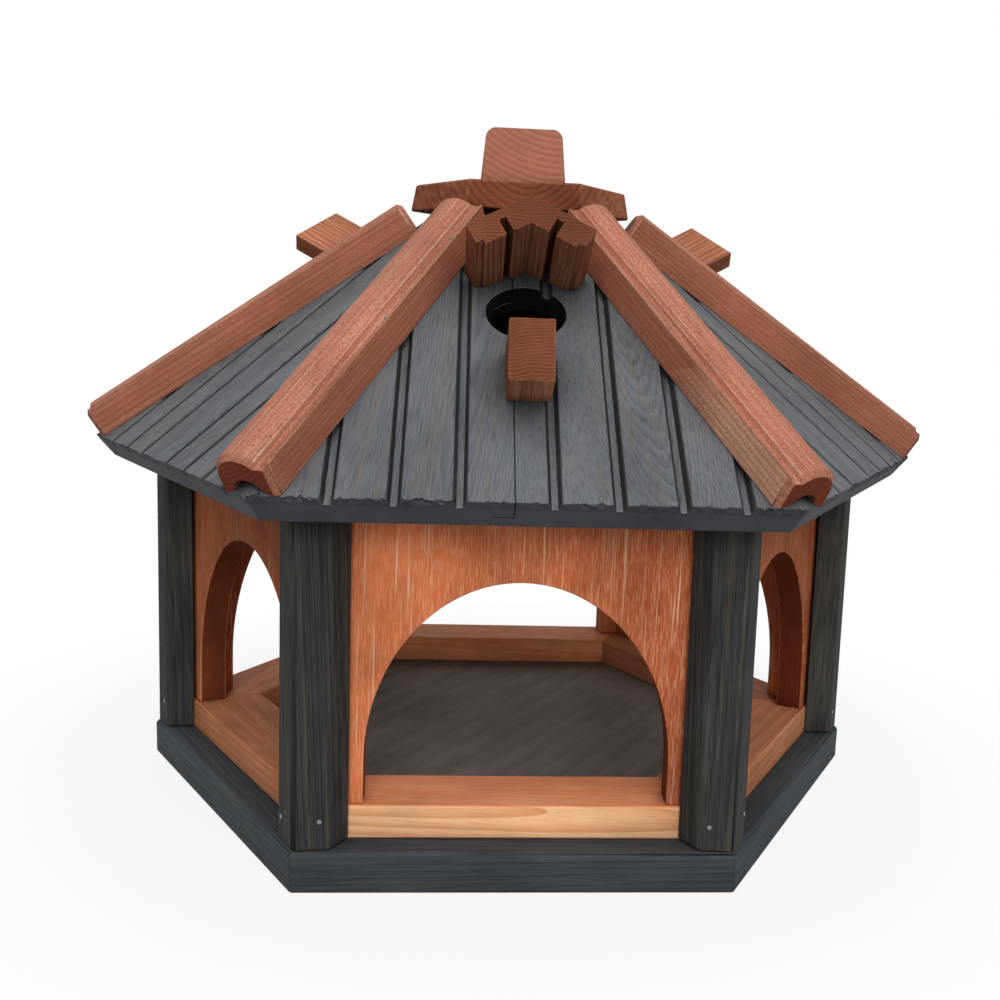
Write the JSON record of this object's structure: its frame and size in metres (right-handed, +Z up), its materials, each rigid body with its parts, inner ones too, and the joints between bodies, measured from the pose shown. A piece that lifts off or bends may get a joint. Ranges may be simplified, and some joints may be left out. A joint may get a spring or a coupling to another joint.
{
  "type": "wooden bird feeder",
  "caption": "Hexagonal wooden bird feeder on a base ring, with arched side panels, corner posts, a grooved board roof with moulded hip battens, and nest holes under small dormers.",
  "frame": {"origin": "on the ground plane under the middle of the base", "axes": "+Z up, +X to the right seen from the front, -Y towards the front dormer"},
  "size_m": [0.585, 0.517, 0.4428],
  "materials": {
    "grey_stain": "graphite grey stain, low sheen, grain and brush marks showing",
    "brown_stain": "red-brown translucent stain, satin, grain showing",
    "bare_pine": "sawn, unstained",
    "nail_steel": "bright wire nails"
  },
  "bodies": {
    "root": {"floor_board": "grey_stain", "loft_floor": "bare_pine", "apex_cap": "brown_stain", "chimney_block": "brown_stain", "post_nails": "nail_steel", "batten_nails": "nail_steel", "base_rail_front": "grey_stain", "sill_front": "brown_stain", "arch_panel_front": "brown_stain", "roof_over_board_front": "grey_stain", "roof_under_board_front": "grey_stain", "base_rail_front_right": "grey_stain", "sill_front_right": "brown_stain", "arch_panel_front_right": "brown_stain", "roof_over_board_front_right": "grey_stain", "roof_under_board_front_right": "grey_stain", "base_rail_back_right": "grey_stain", "sill_back_right": "brown_stain", "arch_panel_back_right": "brown_stain", "roof_over_board_back_right": "grey_stain", "roof_under_board_back_right": "grey_stain", "base_rail_back": "grey_stain", "sill_back": "brown_stain", "arch_panel_back": "brown_stain", "roof_over_board_back": "grey_stain", "roof_under_board_back": "grey_stain", "base_rail_back_left": "grey_stain", "sill_back_left": "brown_stain", "arch_panel_back_left": "brown_stain", "roof_over_board_back_left": "grey_stain", "roof_under_board_back_left": "grey_stain", "base_rail_front_left": "grey_stain", "sill_front_left": "brown_stain", "arch_panel_front_left": "brown_stain", "roof_over_board_front_left": "grey_stain", "roof_under_board_front_left": "grey_stain", "corner_post_right": "grey_stain", "hip_batten_right": "brown_stain", "corner_post_back_right": "grey_stain", "hip_batten_back_right": "brown_stain", "corner_post_back_left": "grey_stain", "hip_batten_back_left": "brown_stain", "corner_post_left": "grey_stain", "hip_batten_left": "brown_stain", "corner_post_front_left": "grey_stain", "hip_batten_front_left": "brown_stain", "corner_post_front_right": "grey_stain", "hip_batten_front_right": "brown_stain", "perch_block_front": "brown_stain", "dormer_board_front_left": "brown_stain", "dormer_board_front_right": "brown_stain", "perch_block_back_right": "brown_stain", "dormer_board_back_right_left": "brown_stain", "dormer_board_back_right_right": "brown_stain", "perch_block_back_left": "brown_stain", "dormer_board_back_left_left": "brown_stain", "dormer_board_back_left_right": "brown_stain"}
  },
  "joints": []
}
